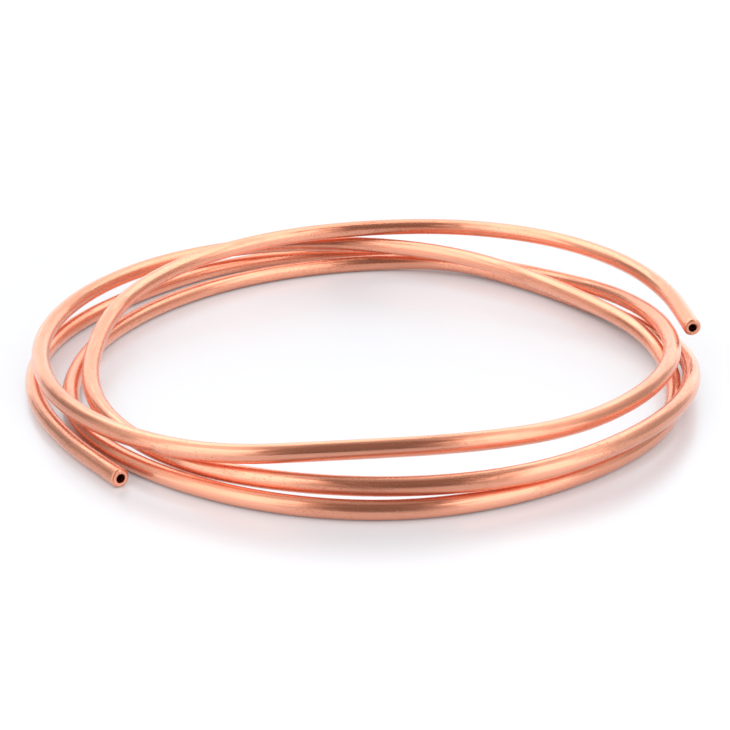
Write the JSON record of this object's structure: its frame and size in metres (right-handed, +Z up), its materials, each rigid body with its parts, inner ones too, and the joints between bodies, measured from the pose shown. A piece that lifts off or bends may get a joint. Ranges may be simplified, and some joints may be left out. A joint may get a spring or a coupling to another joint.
{
  "type": "copper tube coil",
  "caption": "Loose hand-wound coil of bare, soft annealed copper tube with two open, square-cut ends; round bore right through. Lies flat.",
  "frame": {"origin": "on the floor under the middle of the coil", "axes": "+Z up, out of the coil's flat side; -Y is the near side of the coil, where both tube ends point; +Y is along the coil's widest direction"},
  "size_m": [0.2326, 0.2422, 0.0216],
  "materials": {
    "copper": null
  },
  "bodies": {
    "root": {"copper_tube": "copper"}
  },
  "joints": []
}
